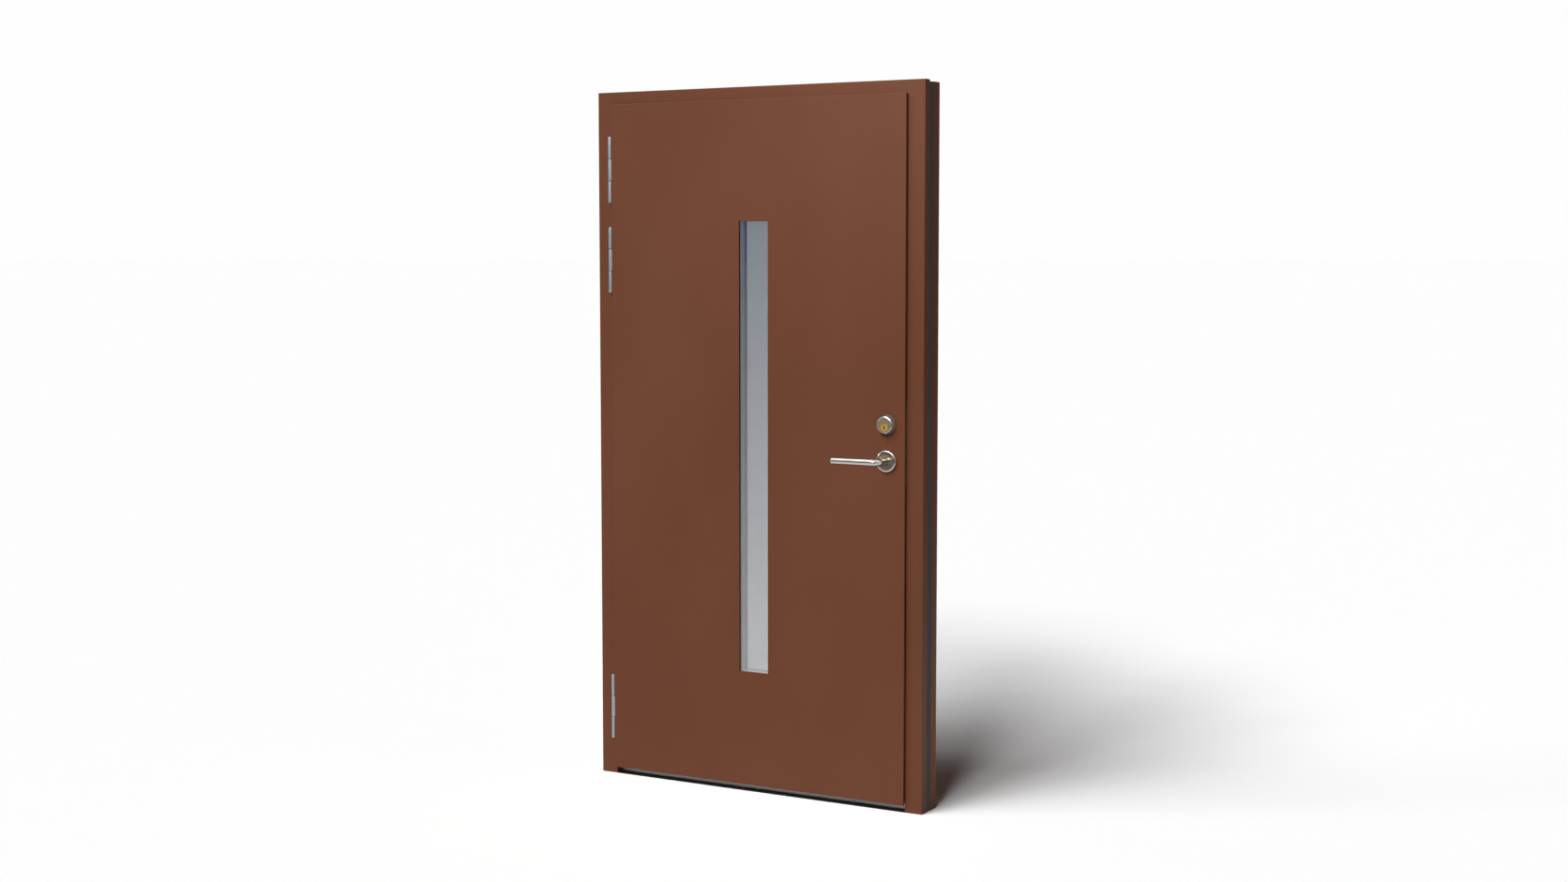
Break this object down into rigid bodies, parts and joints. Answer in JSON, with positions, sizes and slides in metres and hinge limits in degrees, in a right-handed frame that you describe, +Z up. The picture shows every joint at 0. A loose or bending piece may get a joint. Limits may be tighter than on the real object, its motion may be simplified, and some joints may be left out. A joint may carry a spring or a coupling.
{
  "type": "aluminium panel door",
  "caption": "Outward-opening aluminium entrance door: flush panel leaf with a narrow slot window, barrel hinges, key cylinder and lever handles in a thermally broken frame.",
  "frame": {"origin": "middle of the sill's underside, at mid depth of the frame", "axes": "+X from the hinges to the lock, +Y from outdoors to the room, +Z up"},
  "size_m": [1.1, 0.202, 2.09],
  "materials": {
    "brown_paint": "satin red-brown powder coat on aluminium",
    "thermal_break": "dark grey glass-filled polyamide strip",
    "sill_black": "matt black base strip",
    "mill_aluminium": "plain anodised aluminium, fine draw lines",
    "gasket_rubber": "black weather-seal rubber",
    "satin_steel": "brushed stainless steel",
    "hinge_steel": "satin steel barrel",
    "foam": "rigid insulating foam, hidden in the leaf",
    "window_glass": "clear float glass",
    "spacer_bar": "grey spacer bar",
    "polished_steel": "polished stainless steel",
    "satin_nickel": "satin nickel cylinder face",
    "plug_brass": "bare brass key plug"
  },
  "bodies": {
    "frame": {"hinge_jamb_outside": "brown_paint", "hinge_jamb_break": "thermal_break", "hinge_jamb_inside": "brown_paint", "lock_jamb_outside": "brown_paint", "lock_jamb_break": "thermal_break", "lock_jamb_inside": "brown_paint", "head_outside": "brown_paint", "head_break": "thermal_break", "head_inside": "brown_paint", "sill_base": "sill_black", "threshold": "mill_aluminium", "stop_gasket": "gasket_rubber", "strike_plate": "satin_steel", "bottom_hinge_frame_half": "hinge_steel", "upper_hinge_frame_half": "hinge_steel", "top_hinge_frame_half": "hinge_steel"},
    "leaf": {"outside_skin": "brown_paint", "inside_skin": "brown_paint", "hinge_stile": "brown_paint", "lock_stile": "brown_paint", "top_rail": "brown_paint", "bottom_rail": "brown_paint", "leaf_break": "thermal_break", "insulation_core": "foam", "glass_panes": "window_glass", "glass_spacers": "spacer_bar", "glazing_bead": "brown_paint", "bottom_hinge_leaf_half": "hinge_steel", "upper_hinge_leaf_half": "hinge_steel", "top_hinge_leaf_half": "hinge_steel", "lock_faceplate": "satin_steel", "latch_bolt": "satin_steel", "dead_bolt": "satin_steel", "cylinder_ring": "polished_steel", "cylinder_face": "satin_nickel", "key_plug": "plug_brass", "turn_ring": "polished_steel", "thumb_turn": "polished_steel", "outside_rose": "polished_steel", "inside_rose": "polished_steel"},
    "handle": {"outside_lever": "polished_steel", "inside_lever": "polished_steel", "spindle": "satin_steel"}
  },
  "joints": [
    {"name": "leaf_swing", "type": "hinge", "parent": "frame", "child": "leaf", "pos_m": [-0.50375, -0.05325, 1.045], "axis": [0, 0, -1], "range_deg": [0, 120]},
    {"name": "lever_turn", "type": "hinge", "parent": "leaf", "child": "handle", "pos_m": [0.44, -0.0275, 1.0145], "axis": [0, -1, 0], "range_deg": [0, 45], "stiffness_Nm_per_rad": 3, "springref_deg": -28.65}
  ]
}
